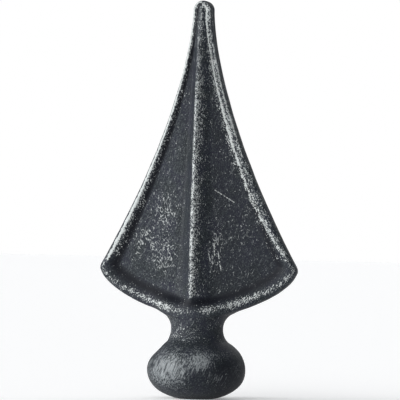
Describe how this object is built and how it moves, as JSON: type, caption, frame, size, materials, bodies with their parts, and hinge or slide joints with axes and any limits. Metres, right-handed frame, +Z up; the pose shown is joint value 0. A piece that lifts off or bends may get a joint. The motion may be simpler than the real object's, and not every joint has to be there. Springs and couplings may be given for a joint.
{
  "type": "forged fence spike",
  "caption": "Leaf-shaped forged fence spike with a raised rim and a middle rib on each face, a hollow round neck and a flattened ball with a flat underside.",
  "frame": {"origin": "middle of the flat underside of the ball", "axes": "+Z up along the spike to its tip, +X across the blade, -Y out of the blade's front face"},
  "size_m": [0.0766, 0.037, 0.15],
  "materials": {
    "patinated_paint": "near-black blue-grey satin paint, dry-brushed with dull silver on the crests and on the ball"
  },
  "bodies": {
    "root": {"spike": "patinated_paint"}
  },
  "joints": []
}
